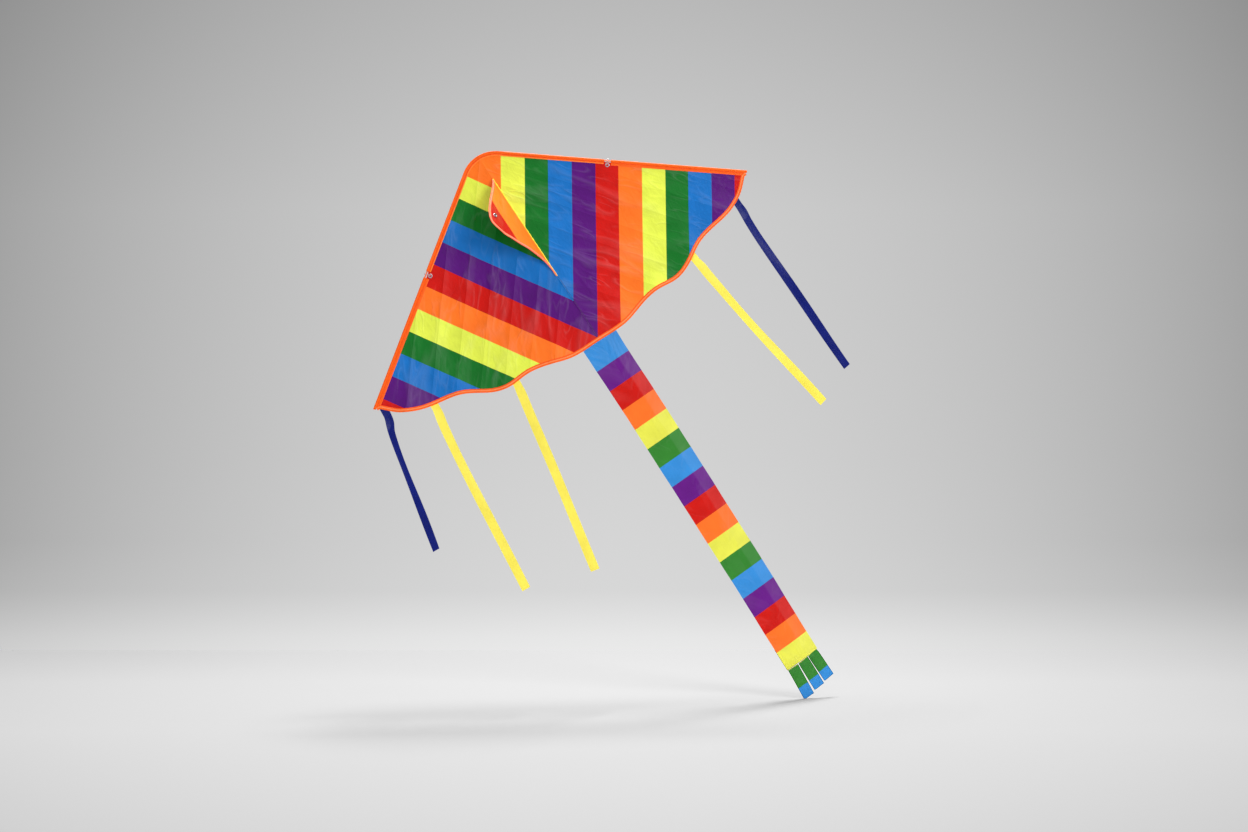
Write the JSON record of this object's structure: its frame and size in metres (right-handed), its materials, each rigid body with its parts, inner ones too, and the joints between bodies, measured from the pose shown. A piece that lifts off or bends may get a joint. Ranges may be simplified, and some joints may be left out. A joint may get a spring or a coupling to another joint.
{
  "type": "delta kite",
  "caption": "Single-line delta kite: striped triangular sail on a rod frame, keel fin with a tow eyelet, ribbon streamers and a long panelled tail, with wings that fold.",
  "frame": {"origin": "centre of the tow eyelet's bore, where the flying line is tied", "axes": "+Z along the spine towards the nose, +X towards the right wing seen from the keel side, +Y from the keel side to the frame side, square to the sail"},
  "size_m": [1.2768, 0.3742, 1.7429],
  "materials": {
    "sail_cloth": "glossy thin polyester, printed with chevron stripes in six repeating rainbow colours",
    "keel_cloth": "glossy thin polyester, orange along the spine and red at the corner",
    "pocket_cloth": "plain thin polyester",
    "orange_binding": "orange woven tape, folded and stitched",
    "keel_tape": "salmon woven tape, folded and stitched",
    "seam_tape": "narrow yellow tape",
    "navy_ribbon": "glossy thin polyester",
    "yellow_ribbon": "glossy thin polyester",
    "tail_cloth": "glossy thin polyester, printed in six repeating rainbow panels",
    "spar_rod": "pultruded glass fibre rod",
    "vinyl_cap": "soft black vinyl",
    "clear_link": "clear moulded plastic",
    "eyelet_metal": "nickel-plated brass"
  },
  "bodies": {
    "centre": {"spine_rod": "spar_rod", "spine_caps": "vinyl_cap", "spine_pocket": "pocket_cloth", "centre_sail": "sail_cloth", "nose_binding": "orange_binding", "centre_trailing_tape": "orange_binding", "keel_seam_tape": "seam_tape"},
    "keel": {"keel_panel": "keel_cloth", "keel_edge_tape": "keel_tape", "tow_eyelet": "eyelet_metal"},
    "spreader": {"spreader_rod": "spar_rod", "spreader_tips": "vinyl_cap"},
    "left_wing": {"left_wing_sail": "sail_cloth", "left_upper_sleeve": "orange_binding", "left_lower_sleeve": "orange_binding", "left_leading_spar": "spar_rod", "left_spar_caps": "vinyl_cap", "left_trailing_tape": "orange_binding", "left_spreader_eyelet": "eyelet_metal", "left_spreader_link": "clear_link"},
    "right_wing": {"right_wing_sail": "sail_cloth", "right_upper_sleeve": "orange_binding", "right_lower_sleeve": "orange_binding", "right_leading_spar": "spar_rod", "right_spar_caps": "vinyl_cap", "right_trailing_tape": "orange_binding", "right_spreader_eyelet": "eyelet_metal", "right_spreader_link": "clear_link"},
    "left_navy_streamer": {"left_navy_streamer": "navy_ribbon"},
    "left_outer_yellow_streamer": {"left_outer_yellow_streamer": "yellow_ribbon"},
    "left_inner_yellow_streamer": {"left_inner_yellow_streamer": "yellow_ribbon"},
    "right_navy_streamer": {"right_navy_streamer": "navy_ribbon"},
    "right_yellow_streamer": {"right_yellow_streamer": "yellow_ribbon"},
    "tail_1": {"tail_length_1": "tail_cloth"},
    "tail_2": {"tail_length_2": "tail_cloth"},
    "tail_3": {"tail_length_3": "tail_cloth"},
    "tail_4": {"tail_length_4": "tail_cloth"},
    "tail_5": {"tail_length_5": "tail_cloth"},
    "tail_6": {"tail_length_6": "tail_cloth"},
    "tail_7": {"tail_length_7": "tail_cloth"},
    "tail_8": {"tail_length_8": "tail_cloth"},
    "left_fringe_strip": {"left_fringe_strip": "tail_cloth"},
    "middle_fringe_strip": {"middle_fringe_strip": "tail_cloth"},
    "right_fringe_strip": {"right_fringe_strip": "tail_cloth"}
  },
  "joints": [
    {"name": "left_wing_fold", "type": "hinge", "parent": "centre", "child": "left_wing", "pos_m": [0.00619, 0.08576, -0.102], "axis": [0, 0, -1], "range_deg": [0, 90]},
    {"name": "right_wing_fold", "type": "hinge", "parent": "centre", "child": "right_wing", "pos_m": [0.12019, 0.08576, -0.102], "axis": [0, 0, 1], "range_deg": [0, 90]},
    {"name": "spreader_release", "type": "slide", "parent": "centre", "child": "spreader", "axis": [0, 1, 0], "range_m": [0, 0.425]},
    {"name": "keel_swing", "type": "hinge", "parent": "centre", "child": "keel", "pos_m": [0.06319, 0.08386, -0.052], "axis": [0, 0, 1], "range_deg": [-48, 122]},
    {"name": "left_navy_streamer_swing", "type": "hinge", "parent": "left_wing", "child": "left_navy_streamer", "pos_m": [-0.52081, 0.08576, -0.284], "axis": [-1, 0, 0], "range_deg": [-80, 80]},
    {"name": "left_outer_yellow_streamer_swing", "type": "hinge", "parent": "left_wing", "child": "left_outer_yellow_streamer", "pos_m": [-0.40281, 0.08576, -0.334], "axis": [-1, 0, 0], "range_deg": [-80, 80]},
    {"name": "left_inner_yellow_streamer_swing", "type": "hinge", "parent": "left_wing", "child": "left_inner_yellow_streamer", "pos_m": [-0.18781, 0.08576, -0.401], "axis": [-1, 0, 0], "range_deg": [-80, 80]},
    {"name": "right_navy_streamer_swing", "type": "hinge", "parent": "right_wing", "child": "right_navy_streamer", "pos_m": [0.59719, 0.08576, -0.317], "axis": [-1, 0, 0], "range_deg": [-80, 80]},
    {"name": "right_yellow_streamer_swing", "type": "hinge", "parent": "right_wing", "child": "right_yellow_streamer", "pos_m": [0.40919, 0.08576, -0.382], "axis": [-1, 0, 0], "range_deg": [-80, 80]},
    {"name": "tail_curl_1", "type": "hinge", "parent": "centre", "child": "tail_1", "pos_m": [0.06319, 0.08576, -0.4235], "axis": [-0.9998, 0, -0.0209], "range_deg": [-12, 12]},
    {"name": "tail_curl_2", "type": "hinge", "parent": "tail_1", "child": "tail_2", "pos_m": [0.0658, 0.10547, -0.54792], "axis": [-0.9998, 0, -0.0209], "range_deg": [-12, 12]},
    {"name": "tail_curl_3", "type": "hinge", "parent": "tail_2", "child": "tail_3", "pos_m": [0.0684, 0.12713, -0.67202], "axis": [-0.9998, 0, -0.0209], "range_deg": [-12, 12]},
    {"name": "tail_curl_4", "type": "hinge", "parent": "tail_3", "child": "tail_4", "pos_m": [0.07099, 0.15074, -0.79576], "axis": [-0.9998, 0, -0.0209], "range_deg": [-12, 12]},
    {"name": "tail_curl_5", "type": "hinge", "parent": "tail_4", "child": "tail_5", "pos_m": [0.07357, 0.17629, -0.91911], "axis": [-0.9998, 0, -0.0209], "range_deg": [-12, 12]},
    {"name": "tail_curl_6", "type": "hinge", "parent": "tail_5", "child": "tail_6", "pos_m": [0.07615, 0.20378, -1.04205], "axis": [-0.9998, 0, -0.0209], "range_deg": [-12, 12]},
    {"name": "tail_curl_7", "type": "hinge", "parent": "tail_6", "child": "tail_7", "pos_m": [0.07871, 0.23319, -1.16454], "axis": [-0.9998, 0, -0.0209], "range_deg": [-12, 12]},
    {"name": "tail_curl_8", "type": "hinge", "parent": "tail_7", "child": "tail_8", "pos_m": [0.08127, 0.26453, -1.28656], "axis": [-0.9998, 0, -0.0209], "range_deg": [-12, 12]},
    {"name": "left_fringe_swing", "type": "hinge", "parent": "tail_8", "child": "left_fringe_strip", "pos_m": [0.08509, 0.3144, -1.46882], "axis": [-0.9998, 0, -0.0209], "range_deg": [-50, 50]},
    {"name": "middle_fringe_swing", "type": "hinge", "parent": "tail_8", "child": "middle_fringe_strip", "pos_m": [0.08509, 0.3144, -1.46882], "axis": [-0.9998, 0, -0.0209], "range_deg": [-50, 50]},
    {"name": "right_fringe_swing", "type": "hinge", "parent": "tail_8", "child": "right_fringe_strip", "pos_m": [0.08509, 0.3144, -1.46882], "axis": [-0.9998, 0, -0.0209], "range_deg": [-50, 50]}
  ],
  "couplings": [
    {"joint": "right_wing_fold", "follows": "left_wing_fold", "ratio": 1},
    {"joint": "spreader_release", "follows": "left_wing_fold", "m_per_rad": 0.27},
    {"joint": "tail_curl_2", "follows": "tail_curl_1", "ratio": 1},
    {"joint": "tail_curl_3", "follows": "tail_curl_1", "ratio": 1},
    {"joint": "tail_curl_4", "follows": "tail_curl_1", "ratio": 1},
    {"joint": "tail_curl_5", "follows": "tail_curl_1", "ratio": 1},
    {"joint": "tail_curl_6", "follows": "tail_curl_1", "ratio": 1},
    {"joint": "tail_curl_7", "follows": "tail_curl_1", "ratio": 1},
    {"joint": "tail_curl_8", "follows": "tail_curl_1", "ratio": 1}
  ]
}
